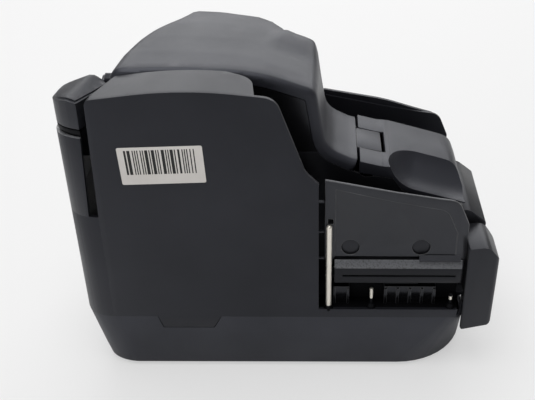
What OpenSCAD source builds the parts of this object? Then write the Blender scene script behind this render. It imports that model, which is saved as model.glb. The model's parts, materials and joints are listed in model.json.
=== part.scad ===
// Desktop receipt printer with an upright U-shaped document track around its paper hump.
// The front faces +X and +Z is up. The origin lies on the ground, under the middle of the case.
// "Near" is the -Y side, "far" the +Y side.

/* [Case] */
// Length of the side covers between the rear slots and the bays
cover_l = 137.5; // [130:0.5:150]
// Width of the bay and track on each side of the central body
pocket_w = 33.5; // [31:0.25:38]
// Height of the seam between the tray and the covers
seam_z = 44.6; // [43.5:0.1:46]
// Thickness of the moulded walls
wall = 2.5; // [2:0.1:2.8]
// Radius of the tray's front corners at the floor
nose_r = 50; // [30:1:55]
// Radius of the case's rear corners
tail_r = 20; // [12:1:24]
// Rear bulge of the case beyond its corners
bulge = 8; // [5:0.5:10]
// Reach of the document stop in front of the case
stop_reach = 19; // [17:0.5:23]
// Running gap between neighbouring mouldings
gap = 0.4; // [0.3:0.05:0.5]

/* [Feet] */
// Height of the rubber feet
foot_h = 3; // [2:0.5:4]
// Radius of the rubber feet
foot_r = 7; // [5:0.5:9]

/* [Side covers] */
// Height of the near cover's crest
crest_z = 215; // [211:0.5:218]
// Gap between the near cover's top strip and the hump
strip_gap = 1.5; // [1:0.25:4]
// Height of the covers beside the pockets
shoulder_z = 151.5; // [147:0.5:153]
// Height of the deck over the far track
deck_z = 156; // [154:0.5:160]
// Width of the open slots in front of the rear lobe
slot_w = 5; // [4.5:0.5:7]
// Length of the rear lobe
lobe_l = 19.5; // [16:0.5:22]
// Height of the rear cap
cap_h = 20; // [14:0.5:24]

/* [Bays] */
// Length of the open bay in the near side
bay_l = 101; // [99:0.5:104]
// Height of the bay floor and of the document track floor
floor_z = 50; // [49.5:0.1:51]
// Depth of the bay's lower recess
recess_d = 16; // [14:0.5:18]
// Height of the bay's ledge
ledge_z = 90; // [86:0.5:92]
// Height of the ledge's front panel
panel_h = 17.5; // [14:0.5:19]
// Setback of the near pocket wall from the case side
plate_inset = 6; // [5.5:0.25:7]
// Thickness of the pocket walls
plate_t = 2; // [1.6:0.1:2.4]
// Diameter of the steel hinge rod
rod_d = 4; // [3:0.5:4]
// Height of the steel hinge rod's top
rod_top = 118.5; // [110:0.5:122]

/* [Central body] */
// Setback of the hump's wide rear half from the far side
hump_setback = 3; // [3:0.5:8]
// Height of the hump
hump_z = 211.7; // [209:0.1:214]
// Extra height of the hump's crown
crown = 1.5; // [1:0.25:4]
// Extra height of the hump's far rear corner
far_rise = 4; // [2:0.5:5]
// Depth of the lid's skirt
skirt = 7.5; // [6:0.25:8]
// Wall of the two lids
lid_t = 2.2; // [1.8:0.1:2.4]
// Height of the lids at the seam between them
neck_z = 149; // [148:0.25:150]
// Length of the front cover
front_l = 74.4; // [73:0.2:76]
// Gap between the two lids
lid_gap = 1.4; // [1.3:0.1:1.8]
// Radius of the thumb scoop
scoop_r = 27; // [25:0.5:28]

/* [Document track] */
// Clear width of the track
track_gap = 4.8; // [4.6:0.1:5.4]
// Thickness of the track guides
guide_t = 1.5; // [1.2:0.1:1.8]
// Height of the track guides
guide_h = 96; // [85:0.5:97]

/* [Printer] */
// Radius of a full paper roll
roll_r = 38; // [30:0.5:39]
// Width of the paper roll
roll_w = 57.5; // [50:0.5:64]
// Radius of the platen
platen_r = 7; // [6:0.25:7.25]
// Radius of the platen shaft
shaft_r = 2.5; // [2:0.25:3]
// Module of the gears
gear_m = 1; // [1:0.05:1]
// Running clearance of shafts and pins, per side
fit = 0.05; // [0.02:0.01:0.08]

/* [Hidden] */
$fn = 48;

// Overall sizes
total_l = lobe_l + slot_w + cover_l + bay_l + stop_reach;
body_w = roll_w + 10.5;
total_w = body_w + 2 * pocket_w;

// Main stations along X
x_rear = -total_l / 2;
x_stop = total_l / 2;
x_nose = x_stop - stop_reach;
x_bay = x_nose - bay_l;
x_seam = x_nose - front_l;
x_lobe = x_rear + lobe_l;
x_cover = x_lobe + slot_w;
x_hump = x_cover + 10.5;
hump_l = x_seam - x_hump;

// Main stations along Y
half_w = total_w / 2;
half_body = body_w / 2;
near_edge = -half_body;
hump_far = half_w - hump_setback;
hump_w = hump_far - near_edge;
strip_w = pocket_w - strip_gap;
// Centre of the document track
track_y = half_body + 0.4776 * pocket_w;
guide_out = track_gap / 2 + guide_t;

// Bottom of the tray, its floor and the floor of the central frame
tray_z = foot_h;
tray_floor = tray_z + wall;
deck_t = 3;
frame_floor = floor_z + wall;

// ---------- helpers ----------

function unit(v) = v / norm(v);
function xy(p) = [p.x, p.y];

// Points that round the corner b between a and c
function corner(a, b, c, r, n) = r <= 0 ? [b] :
    let (u = unit(a - b), w = unit(c - b), half = acos(u * w) / 2,
        p = b + u * r / tan(half), q = b + w * r / tan(half),
        m = b + unit(u + w) * r / sin(half),
        s = atan2(p.y - m.y, p.x - m.x), e = atan2(q.y - m.y, q.x - m.x),
        d = (e - s + 540) % 360 - 180)
    [for (i = [0:n]) m + r * [cos(s + d * i / n), sin(s + d * i / n)]];

// Closed outline from corners [x, y, radius]
function rounded(pts, n = 8) = let (k = len(pts))
    [for (i = [0:k - 1])
        each corner(xy(pts[(i + k - 1) % k]), xy(pts[i]), xy(pts[(i + 1) % k]), pts[i].z, n)];

// Open path from corners [x, y, radius]; the two ends stay sharp
function path(pts, n = 4) = let (k = len(pts))
    [for (i = [0:k - 1]) each (i == 0 || i == k - 1) ? [xy(pts[i])] :
        corner(xy(pts[i - 1]), xy(pts[i]), xy(pts[i + 1]), pts[i].z, n)];

// Inward normal of an open path at point i
function inward(p, i) = let (a = p[max(i - 1, 0)], b = p[min(i + 1, len(p) - 1)], t = unit(b - a))
    [t.y, -t.x];

function smooth(a, b, x) = let (t = min(1, max(0, (x - a) / (b - a)))) t * t * (3 - 2 * t);

module linear_extrude_at(z, h) {
    translate([0, 0, z]) linear_extrude(h) children();
}

// Prism of an (x, z) outline between two y values
module along_y(y0, y1) {
    translate([0, y1, 0]) rotate([90, 0, 0]) linear_extrude(y1 - y0) children();
}

// Prism of a (y, z) outline between two x values
module along_x(x0, x1) {
    translate([x0, 0, 0]) rotate([90, 0, 90]) linear_extrude(x1 - x0) children();
}

// The same prism on the far side (s = 1) or mirrored to the near side (s = -1)
module mirrored_y(s, y0, y1) {
    along_y(s > 0 ? y0 : -y1, s > 0 ? y1 : -y0) children();
}

module block(x0, x1, y0, y1, z0, z1) {
    translate([x0, y0, z0]) cube([x1 - x0, y1 - y0, z1 - z0]);
}

// Open shell between outer and inner sections of equal length, joined along their hems
module shell_loft(outer, inner) {
    n = len(outer[0]);
    m = len(outer);
    // index of point i of section k, on the outer (s = 0) or the inner (s = 1) skin
    function at(s, k, i) = s * n * m + k * n + i;
    polyhedron(
        points = concat([for (s = outer) each s], [for (s = inner) each s]),
        faces = concat(
            [for (k = [0:m - 2], i = [0:n - 2])
                each quad(at(0, k, i), at(0, k, i + 1), at(0, k + 1, i + 1), at(0, k + 1, i))],
            [for (k = [0:m - 2], i = [0:n - 2])
                each quad(at(1, k, i + 1), at(1, k, i), at(1, k + 1, i), at(1, k + 1, i + 1))],
            [for (k = [0:m - 2]) each quad(at(0, k + 1, 0), at(1, k + 1, 0), at(1, k, 0), at(0, k, 0))],
            [for (k = [0:m - 2])
                each quad(at(0, k, n - 1), at(1, k, n - 1), at(1, k + 1, n - 1), at(0, k + 1, n - 1))],
            [for (i = [0:n - 2]) each quad(at(0, 0, i + 1), at(0, 0, i), at(1, 0, i), at(1, 0, i + 1))],
            [for (i = [0:n - 2])
                each quad(at(0, m - 1, i), at(0, m - 1, i + 1), at(1, m - 1, i + 1), at(1, m - 1, i))]),
        convexity = 6);
}

function quad(a, b, c, d) = [[a, b, c], [a, c, d]];

// ---------- case outlines ----------

corner_steps = 12;

// Plan of the case: rear bulge, rear corners and front corners
function case_plan(front, rear, front_r, inset) = rounded([
    [front - inset, -half_w + inset, front_r - inset],
    [front - inset, half_w - inset, front_r - inset],
    [rear + bulge + inset, half_w - inset, tail_r],
    [rear + inset, half_w / 3, 60],
    [rear + inset, -half_w / 3, 60],
    [rear + bulge + inset, -half_w + inset, tail_r]], corner_steps);

nose_top_r = 12;
tray_lean = 10;
nose_lean = 5;

module tray_form(inset, z0, z1) {
    hull() {
        translate([0, 0, z0]) linear_extrude(0.01)
            polygon(case_plan(x_nose + nose_lean, x_rear + tray_lean, nose_r, inset));
        translate([0, 0, z1 - 0.01]) linear_extrude(0.01)
            polygon(case_plan(x_nose, x_rear, nose_top_r, inset));
    }
}

// ---------- tray ----------

post_r = 3.5;
screw_r = 1.5;
front_post_x = x_nose - 70;
// Screw posts under the deck: [x, y, height of the screw head's seat]
posts = [for (p = [[x_cover + 0.27 * cover_l, half_w - 8.5, floor_z],
    [x_cover + 0.67 * cover_l, half_w - 8.5, floor_z],
    [front_post_x, half_body - 9, frame_floor]], s = [-1, 1]) [p.x, s * p.y, p.z]];
port_y = 31;
port_z0 = tray_floor + 4.5;
port_z1 = seam_z - 6.6;
port_x = x_rear + 14;
port_t = 2;
tab_x0 = x_cover + 29;
tab_l = 40;
tab_h = 9.5;

module tab_outline(grow) {
    polygon([[tab_x0 - grow - 2, seam_z + 1], [tab_x0 - grow + 1.5, seam_z - tab_h - grow],
        [tab_x0 + tab_l + grow - 4, seam_z - tab_h - grow], [tab_x0 + tab_l + grow + 2, seam_z + 1]]);
}

module base_tray() {
    color("#242427") {
        difference() {
            tray_form(0, tray_z, seam_z);
            tray_form(wall, tray_floor, seam_z + 0.2);
            along_y(-half_w - 1, -half_w + wall + 0.6) tab_outline(gap);
            block(x_rear - 1, port_x, -port_y, port_y, port_z0, port_z1);
        }
        for (p = posts)
            translate([p.x, p.y, tray_floor - 1]) difference() {
                cylinder(r = post_r, h = floor_z - deck_t - tray_floor + 1);
                translate([0, 0, 12]) cylinder(r = screw_r, h = 60);
            }
        for (p = chassis_posts)
            translate([p.x, p.y, tray_floor - 1]) difference() {
                cylinder(r = post_r, h = chassis_z - tray_floor + 1);
                translate([0, 0, 2]) cylinder(r = screw_r, h = 20);
            }
    }
}

foot_x = total_l / 2 - 58;
foot_y = half_w - 22;

module feet() {
    color("#18181a")
        for (x = [-foot_x, foot_x], y = [-foot_y, foot_y])
            translate([x, y, 0]) cylinder(r = foot_r, h = foot_h);
}

port_mid = (port_z0 + port_z1) / 2;
inlet_y = -18;
inlet_r = 5.5;
switch_y = 18.5;
switch_w = 14;
switch_pin_r = 1;
slip = gap / 4;

// Recessed box in the tray's rear wall
module port_panel() {
    color("#2a2a2d") {
        difference() {
            intersection() {
                block(x_rear, port_x + port_t, -port_y - 2, port_y + 2, port_z0 - 2, port_z1 + 2);
                tray_form(wall + 0.2, tray_floor, seam_z + 0.2);
            }
            block(x_rear - 1, port_x, -port_y, port_y, port_z0, port_z1);
            translate([port_x - 1, inlet_y, port_mid]) rotate([0, 90, 0])
                cylinder(r = inlet_r, h = port_t + 2);
            block(port_x - 1, port_x + port_t + 1, -6.3, 6.3, port_mid - 5.8, port_mid + 5.8);
            block(port_x - 1, port_x + port_t + 1, switch_y - 7.5, switch_y + 7.5,
                port_mid - 6, port_mid + 6);
        }
        // cheeks and pin that carry the rocker
        for (y = [switch_y - 8.5, switch_y + 7.5])
            block(port_x + port_t, port_x + 8, y, y + 1, port_mid - 6, port_mid + 6);
        translate([port_x + 3, switch_y - 8, port_mid]) rotate([-90, 0, 0])
            cylinder(r = switch_pin_r, h = 16);
    }
}

module power_inlet() {
    color("#151516")
        translate([port_x - 1, inlet_y, port_mid]) rotate([0, 90, 0]) difference() {
            union() {
                cylinder(r = inlet_r - slip, h = 4);
                translate([-7, -8, port_t + 1 + slip]) cube([14, 16, 8.5]);
            }
            translate([0, 0, -1]) cylinder(r = 4, h = 9);
        }
    color("silver")
        translate([port_x, inlet_y, port_mid]) rotate([0, 90, 0]) cylinder(r = 1.2, h = 7.5);
}

module data_port() {
    color("#b9bcc0")
        difference() {
            block(port_x - 1, port_x + 11, -6.2, 6.2, port_mid - 5.7, port_mid + 5.7);
            block(port_x - 2, port_x + 8, -4.2, 4.2, port_mid - 3.9, port_mid + 3.9);
        }
    color("#e6e6e2")
        block(port_x, port_x + 9, -2.8, 2.8, port_mid - 2.2, port_mid + 2.2);
}

switch_tilt = 9;

module power_switch() {
    color("#101011")
        translate([port_x + 3, switch_y, port_mid]) difference() {
            rotate([0, switch_tilt, 0]) intersection() {
                along_y(-switch_w / 2, switch_w / 2) circle(r = 5.2);
                translate([-5.2, -switch_w / 2, -5.2]) cube([8.4, switch_w, 10.4]);
            }
            along_y(-switch_w, switch_w) circle(r = switch_pin_r + fit);
        }
}

chassis_z = 14;
chassis_t = 1.5;
chassis_x0 = x_rear + 29;
chassis_x1 = front_post_x - 8;
chassis_posts = [for (x = [x_rear + 53, chassis_x1 - 12], s = [-1, 1]) [x, s * (half_body - 6)]];

module chassis_plate() {
    color("#a9adb2")
        difference() {
            linear_extrude_at(chassis_z, chassis_t)
                polygon(rounded([for (p = [[0, -1], [1, -1], [1, 1], [0, 1]])
                    [p.x > 0 ? chassis_x1 : chassis_x0, p.y * (half_body + 6), 6]]));
            for (p = chassis_posts)
                translate([p.x, p.y, chassis_z - 1]) cylinder(r = screw_r + fit, h = chassis_t + 2);
            for (s = [-1, 1])
                translate([feed_x, s * feed_y, chassis_z - 1]) cylinder(r = motor_r + 1, h = 5);
        }
}

board_z = chassis_z + chassis_t;

module circuit_board() {
    color("#1d5a35")
        block(port_x + 12, chassis_x1 - 6, -half_body + 7, half_body - 7, board_z + 3, board_z + 4.6);
    color("#8d9094")
        for (x = [port_x + 20, chassis_x1 - 30], s = [-1, 1])
            translate([x, s * (half_body - 10), board_z]) cylinder(r = 2.5, h = 3);
    color("#202022") {
        block(chassis_x1 - 104, chassis_x1 - 84, -14, 6, board_z + 4.6, board_z + 6.6);
        block(chassis_x1 - 58, chassis_x1 - 44, -6, 8, board_z + 4.6, board_z + 6.4);
        block(chassis_x1 - 24, chassis_x1 - 12, -18, 18, board_z + 4.6, board_z + 12);
    }
}

module tray_screws() {
    color("#c8c8c4") {
        for (p = posts)
            translate([p.x, p.y, floor_z - 11]) {
                cylinder(r = screw_r, h = p.z - floor_z + 11);
                translate([0, 0, p.z - floor_z + 11]) cylinder(r = 3, h = 1.6);
            }
        for (p = chassis_posts)
            translate([p.x, p.y, chassis_z - 6]) {
                cylinder(r = screw_r, h = 6 + chassis_t);
                translate([0, 0, 6 + chassis_t]) cylinder(r = 3, h = 1.6);
            }
    }
}

// ---------- document track ----------

track_c = x_rear + wall + 6.6 + track_y + guide_out;
// The rollers fill the room between the track and the walls beside it
feed_r = (track_y - half_body - 2 * gap) / 2;
pinch_r = (half_w - wall - track_y - 5) / 2;
feed_x = x_bay - 21;
feed_y = track_y - feed_r - 0.15;
pinch_y = track_y + pinch_r + 0.15;
feed_z0 = floor_z + 18;
feed_z1 = floor_z + 52;
track_end = x_bay - 4;
motor_r = 12;

// Plan of a U that opens to the front, with its sides at +-y
module u_plan(y, front) {
    translate([track_c, 0]) circle(r = y, $fn = 96);
    translate([track_c, -y]) square([front - track_c, 2 * y]);
}

module u_wall(y, t, front) {
    linear_extrude_at(floor_z, guide_h) difference() {
        u_plan(y + t, front);
        u_plan(y, front + 1);
    }
}

module feed_window() {
    for (s = [-1, 1])
        block(feed_x - 12, feed_x + 12, s * track_y - 12, s * track_y + 12, floor_z - 1, feed_z1 + 1);
}

module track_inner_guide() {
    color("#1b1b1d")
        difference() {
            u_wall(track_y - track_gap / 2 - guide_t, guide_t, track_end);
            feed_window();
        }
}

module track_outer_guide() {
    color("#1b1b1d")
        difference() {
            u_wall(track_y + track_gap / 2, guide_t, track_end);
            feed_window();
        }
}

module track_floor() {
    color("#202023")
        difference() {
            linear_extrude_at(floor_z - deck_t, deck_t) difference() {
                polygon(case_plan(x_nose, x_rear, nose_top_r, wall + gap));
                translate([x_bay - wall - gap, -half_w]) square([bay_l + 12, recess_d + 2.2]);
            }
            for (p = posts)
                translate([p.x, p.y, floor_z - deck_t - 1]) cylinder(r = screw_r + fit, h = deck_t + 2);
            for (s = [-1, 1])
                translate([feed_x, s * feed_y, floor_z - deck_t - 1])
                    cylinder(r = shaft_r + fit, h = deck_t + 2);
        }
}

feed_motor_z1 = floor_z - 8;

// Rubber roller on its steel shaft, on the near side (s = -1) or the far side (s = 1)
module drive_roller(s) {
    translate([feed_x, s * feed_y, 0]) {
        color("#c9ccd0")
            linear_extrude_at(feed_motor_z1 + gap, feed_z1 + 3 - feed_motor_z1 - gap) circle(r = shaft_r);
        color("#3a3a3c")
            linear_extrude_at(feed_z0, feed_z1 - feed_z0) circle(r = feed_r);
    }
}

module near_feed_roller() {
    drive_roller(-1);
}

module far_feed_roller() {
    drive_roller(1);
}

module feed_motors() {
    color("#8b8e93")
        for (s = [-1, 1]) translate([feed_x, s * feed_y, tray_floor])
            cylinder(r = motor_r, h = feed_motor_z1 - tray_floor);
}

pinch_pin_r = 1.5;

module idle_roller(s) {
    color("#4a4a4d")
        translate([feed_x, s * pinch_y, feed_z0]) difference() {
            cylinder(r = pinch_r, h = feed_z1 - feed_z0);
            translate([0, 0, -1]) cylinder(r = pinch_pin_r + fit, h = feed_z1 - feed_z0 + 2);
        }
}

module near_pinch_roller() {
    idle_roller(-1);
}

module far_pinch_roller() {
    idle_roller(1);
}

// Fixed pins of the pinch rollers, each with the collar that the roller stands on
module pinch_pins() {
    color("#c9ccd0")
        for (s = [-1, 1]) translate([feed_x, s * pinch_y, floor_z]) {
            cylinder(r = 2.5, h = feed_z0 - floor_z - 0.1);
            cylinder(r = pinch_pin_r, h = feed_z1 - floor_z + 2);
        }
}

scan_x = x_cover + 0.48 * cover_l;

module scan_head(y0, y1) {
    block(scan_x, scan_x + 14, -y1, -y0, floor_z, floor_z + guide_h - 4);
}

module outer_scan_head() {
    color("#26262a")
        scan_head(track_y + guide_out, track_y + guide_out + 8);
}

module inner_scan_head() {
    color("#26262a")
        scan_head(track_y - guide_out - 8, track_y - guide_out);
}

// ---------- side covers ----------

crest_x = x_cover + 0.42 * cover_l;
bank_x = x_bay - 25.5;

// Side outline of the near cover above the seam
near_profile = rounded([
    [x_cover, seam_z, 0],
    [x_cover, crest_z - 7.3, 4],
    [crest_x, crest_z + 0.6, 260],
    [bank_x, crest_z - 5.3, 11],
    [bank_x + 17.5, shoulder_z + 8, 15],
    [x_bay, shoulder_z, 0],
    [x_bay, seam_z, 0]], 10);

strip_end = bank_x - 12.5;

module near_side_cover() {
    color("#2b2b2e") {
        difference() {
            along_y(-half_w, -half_w + strip_w) polygon(near_profile);
            // hollow behind the outer wall and under the top strip
            along_y(-half_w + wall, -half_w + strip_w + 1) {
                translate([0, -wall]) polygon(near_profile);
                translate([0, -wall - 1]) polygon(near_profile);
            }
            block(x_cover - 1, x_cover + 10, -half_w + wall, -half_w + strip_w + 1, seam_z - 2, crest_z - 12);
            block(x_bay - 10, x_bay + 1, -half_w + wall, -half_w + strip_w + 1, seam_z - 2, shoulder_z + 9);
            // open hopper in front of the strip
            linear_extrude_at(shoulder_z - 20, 100) polygon(rounded([
                [strip_end, -half_w + wall, 0], [x_bay + 1, -half_w + wall, 0],
                [x_bay + 1, -half_w + strip_w + 1, 0], [strip_end - 22, -half_w + strip_w + 1, 0],
                [strip_end - 3, -half_w + strip_w - 6, 14]]));
            // slanting rear end of the strip
            linear_extrude_at(seam_z, 200) polygon([
                [x_cover - 1, -half_w + wall], [x_cover - 1, -half_w + strip_w + 1],
                [x_cover + 12.5, -half_w + strip_w + 1], [x_cover + 1, -half_w + wall]]);
        }
        // band in front of the bay's trough, with room for the rod's and the studs' bases
        difference() {
            block(x_bay - wall, x_nose - 6, -half_w, -half_w + wall, seam_z, floor_z + 1.4);
            for (p = concat([[rod_x, rod_y]], studs))
                translate([p.x, p.y, floor_z - gap]) cylinder(r = base_r + 0.2, h = 4);
        }
        // low band that runs on round the rear, under the turn cover
        linear_extrude_at(seam_z, slot_z - seam_z) difference() {
            case_band(x_cover + 1, wall);
            translate([x_lobe, 0]) square([slot_w + 1, total_w]);
        }
        // tab that drops into the tray
        along_y(-half_w, -half_w + wall) tab_outline(0);
        // snap ribs in the gap beside the pocket wall
        for (z = [92, 113, 136])
            block(x_bay - 0.5, bay_x0 - gap, -half_w + 3, -half_w + 5, z, z + 1);
        block(x_bay - wall, x_bay, -half_w, -half_w + 8, floor_z, shoulder_z - 4);
    }
}

// Side outline of the far cover: a deck over the track, open over the far pocket
far_profile = rounded([
    [x_cover, seam_z, 0], [x_cover, deck_z, 4], [bank_x - 4, deck_z, 12],
    [bank_x + 12, shoulder_z, 12], [x_bay, shoulder_z, 0], [x_bay, seam_z, 0]], 10);

module far_side_cover() {
    color("#2b2b2e")
        difference() {
            along_y(half_body + gap, half_w) polygon(far_profile);
            along_y(half_body - 1, half_w - wall) {
                translate([0, -wall]) polygon(far_profile);
                translate([0, -wall - 2]) polygon(far_profile);
            }
            block(x_cover - 1, x_cover + 10, half_body - 1, half_w - wall, seam_z - 1, deck_z - wall);
            block(bank_x - 4, x_bay + 1, half_body - 1, half_w - wall, seam_z - 1, deck_z + 1);
        }
}

bay_front = x_nose - 5;

module far_bay_cover() {
    color("#2b2b2e")
        along_y(half_w - wall, half_w)
            polygon(rounded([[x_bay + gap, seam_z, 0], [x_bay + gap, shoulder_z - 1, 3],
                [x_bay + 52, shoulder_z - 10, 60], [bay_front - 6, shoulder_z - 17, 12],
                [bay_front, shoulder_z - 36, 30], [bay_front, seam_z, 4]]));
}

// Foot of the slot between the rear lobe and the near cover
slot_z = shoulder_z - 25.5;

// Wall of the case round the rear, back from a given x
module case_band(x1, t) {
    intersection() {
        difference() {
            polygon(case_plan(x_nose, x_rear, nose_top_r, 0));
            polygon(case_plan(x_nose, x_rear, nose_top_r, t));
        }
        translate([x_rear - 1, -half_w - 1]) square([x1 - x_rear + 1, total_w + 2]);
    }
}

// Rear housing that turns the track round behind the hump
lobe_y = -half_body + gap;
cap_z = crest_z - 8;
lobe_z = cap_z - cap_h;
module rear_form(inset, z0) {
    intersection() {
        linear_extrude_at(z0, 200) intersection() {
            polygon(case_plan(x_nose, x_rear, nose_top_r, inset));
            union() {
                translate([x_rear - 1, -half_w]) square([x_lobe - x_rear + 1 + (inset > 0 ? 1 : 0), total_w]);
                translate([x_lobe - 1, near_edge + gap + inset])
                    square([x_hump - gap - x_lobe + 1 + (inset > 0 ? 1 : 0), body_w - 2 * gap - 2 * inset]);
            }
        }
        along_x(x_rear - 2, x_hump + 2) polygon([
            [-half_w, z0], [-half_w, lobe_z - inset], [lobe_y - inset, lobe_z - inset],
            [lobe_y - inset + 0.01, deck_z - inset], [half_w, deck_z - inset], [half_w, z0]]);
    }
}

groove_z = lobe_z - 4.8;

module rear_turn_cover() {
    color("#29292c")
        difference() {
            rear_form(0, slot_z);
            rear_form(wall, slot_z - 1);
            // room for the track in front of the lobe
            block(x_lobe, x_hump, -half_w - 1, half_w + 1, slot_z - 1, floor_z + guide_h + gap);
            // groove under the cap: a deep line below a set-in band
            linear_extrude_at(groove_z, 2) case_band(x_lobe, 1.7);
            linear_extrude_at(groove_z + 1.9, 6) case_band(x_lobe, 0.9);
        }
}

cap_lip = 1.2;

module cap_form(inset, z0, z1) {
    linear_extrude_at(z0, z1 - z0) intersection() {
        polygon(case_plan(x_nose, x_rear + 1, nose_top_r, inset));
        polygon(rounded([[x_rear - 5, -half_w - 5, 0], [x_lobe - inset, -half_w - 5, 0],
            [x_lobe - inset, -half_w + 1, 2], [x_hump - 3 - inset, lobe_y - 5 - inset, 1],
            [x_hump - 7 - inset, lobe_y - inset, 0], [x_rear - 5, lobe_y - inset, 0]]));
    }
}

module rear_cap() {
    color("#303034")
        difference() {
            union() {
                cap_form(0, lobe_z + cap_lip, cap_z - 2);
                cap_form(1.5, cap_z - 2.5, cap_z);
                cap_form(wall + gap, lobe_z, lobe_z + 3);
            }
            cap_form(wall + gap + wall, lobe_z - 1, cap_z - wall);
        }
}

// ---------- near bay ----------

face_y = -half_w + 2.5;
plate_y = -half_w + plate_inset;
back_y = -half_w + recess_d;
bay_x0 = x_bay + 4;
bay_x1 = bay_front;
rod_x = bay_x0 + 2.8;
rod_y = -half_w + 3.7;
base_r = 3.6;
// Studs: [x, y, height]
studs = [[bay_x0 + 32, face_y + 2, 16.5], [bay_x1 - 5.5, face_y + 2, 13]];

module near_bay_frame() {
    color("#2a2b2e")
        difference() {
            along_x(bay_x0, bay_x1) polygon([
                [-half_w + wall + 0.2, floor_z - deck_t], [back_y + 2, floor_z - deck_t],
                [back_y + 2, ledge_z - panel_h + 2], [face_y + 2, ledge_z - panel_h + 2],
                [face_y + 2, ledge_z - 2], [plate_y + plate_t + 1.5, ledge_z - 2],
                [plate_y + plate_t + 1.5, ledge_z], [face_y, ledge_z],
                [face_y, ledge_z - panel_h], [back_y, ledge_z - panel_h], [back_y, floor_z],
                [-half_w + wall + 0.2, floor_z]]);
            // slit in the front panel
            block(bay_x0 + 12, bay_x1 - 4, face_y - 1, face_y + 3, ledge_z - 12.4, ledge_z - 11);
            // notch beside the rod
            block(bay_x0 - 1, rod_x + 3.8, -half_w, plate_y + plate_t, floor_z, ledge_z + 1);
        }
}

// Top edge of the pocket walls: [distance along, height over the shoulder]
pocket_end = bay_l - 6.9;
pocket_path = path([[0, 0, 0], [0.446 * bay_l, -9, 80], [0.723 * bay_l, -13.6, 120],
    [0.856 * bay_l, -15.4, 10], [pocket_end, -33, 0]]);
disc_r = 6;
disc_z = ledge_z + 9;
disc_x = [21, 68];

// Outline of a pocket wall: sloping top edge and rounded front corner
module pocket_outline(inset, z0) {
    polygon(concat([[bay_x0 + inset, z0]],
        [for (p = pocket_path) [bay_x0 + p.x + inset * (1 - 2 * min(1, p.x / (0.856 * bay_l))),
            shoulder_z - 0.5 + p.y - inset]],
        [[bay_x0 + pocket_end - inset, z0]]));
}

module near_pocket_wall() {
    color("#2d2d30")
        difference() {
            along_y(plate_y, plate_y + plate_t) pocket_outline(0, ledge_z);
            along_y(plate_y - 1, plate_y + 0.7) pocket_outline(7, ledge_z + 1.5);
            along_y(plate_y - 1, plate_y + plate_t + 1) for (x = disc_x)
                translate([bay_x0 + x - 4, disc_z]) circle(r = disc_r);
            // shadow gap over the ledge, and the rod's top clip
            block(bay_x0 + 6, bay_x1 - 8, plate_y - 1, plate_y + plate_t + 1, ledge_z - 1, ledge_z + 1.5);
            block(bay_x0 + 2, bay_x0 + 5.5, plate_y - 1, plate_y + plate_t + 1, rod_top - 1, rod_top + 3);
        }
}

module pocket_discs() {
    color("#3c3c40")
        for (x = disc_x) along_y(plate_y + plate_t, plate_y + plate_t + 2)
            translate([bay_x0 + x - 4, disc_z]) circle(r = disc_r + 1);
}

far_plate_y = half_w - 4.5;

module far_pocket_wall() {
    color("#2d2d30")
        along_y(far_plate_y, far_plate_y + plate_t - gap / 2) pocket_outline(0, floor_z);
}

module guide_rod() {
    color("#d8dade")
        translate([rod_x, rod_y, floor_z]) {
            cylinder(r1 = base_r, r2 = rod_d / 2, h = 3);
            cylinder(r = rod_d / 2, h = rod_top - floor_z - rod_d / 2);
            translate([0, 0, rod_top - floor_z - rod_d / 2]) sphere(r = rod_d / 2);
        }
}

module cover_studs() {
    for (p = studs)
        translate([p.x, p.y, floor_z]) {
            color("#1a1a1c")
                cylinder(r1 = base_r, r2 = 2, h = 4);
            color("#d8dade")
                cylinder(r = 1.2, h = p.z);
        }
}

rib_y = back_y - 8;
rib_h = 14;
rib_x0 = bay_x0 + 41;
rib_x1 = bay_x0 + 76.5;

module rib_block() {
    color("#333438") {
        block(rib_x0, rib_x1, rib_y + 1.4, back_y, floor_z, floor_z + rib_h);
        for (i = [0:4])
            translate([rib_x0 + i * (rib_x1 - rib_x0 - 2) / 4, 0, 0])
                block(0, 2, rib_y, rib_y + 1.5, floor_z, floor_z + rib_h - 1);
        block(rib_x0 + 1, rib_x1 - 12, back_y - 3, back_y, floor_z + rib_h, floor_z + rib_h + 3);
    }
}

module stop_block() {
    color("#333438") {
        block(bay_x0 + 6, bay_x0 + 17, rib_y + 1, back_y, floor_z, floor_z + rib_h);
        for (x = [6, 15.4])
            block(bay_x0 + x, bay_x0 + x + 1.6, rib_y, rib_y + 1, floor_z, floor_z + rib_h - 1);
    }
}

module ledge_flap() {
    color("#5a5b5f")
        along_x(bay_x1 - 29, bay_x1 - 1.5) polygon([
            [face_y + 0.4, ledge_z], [plate_y, ledge_z],
            [plate_y, ledge_z + 3.4], [face_y + 0.4, ledge_z + 0.8]]);
}

// Block at the mouth of the near pocket, standing clear of the rounded case corner
stop_x0 = x_nose - 2.5;
stop_z0 = seam_z - 11;
stop_z1 = ledge_z + 16;
stop_w = pocket_w - 3.5;

module end_stop() {
    color("#2e2e31") {
        difference() {
            intersection() {
                along_y(-half_w, -half_w + stop_w) polygon(rounded([
                    [stop_x0, stop_z0, 1.5], [x_stop - 1, stop_z0 + 5, 4], [x_stop, stop_z1 - 12, 7],
                    [x_stop - 8, stop_z1 - 2, 8], [stop_x0, stop_z1 - 4, 1.5]]));
                linear_extrude_at(stop_z0 - 1, stop_z1) polygon(rounded([
                    [stop_x0, -half_w, 1.5], [x_stop, -half_w, 3.5],
                    [x_stop, -half_w + stop_w, 9], [stop_x0, -half_w + stop_w, 1.5]]));
            }
            nose_clearance();
            block(stop_x0 - 1, stop_x0 + 3, -half_w + 2, -half_w + stop_w - 4, stop_z0 - 1, stop_z1 - 14);
        }
        // tongue that lies on the pocket floor
        block(x_nose - 20, stop_x0 + 4, back_y + 2.2, -half_w + stop_w - 2, floor_z, floor_z + 3);
    }
}

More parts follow.
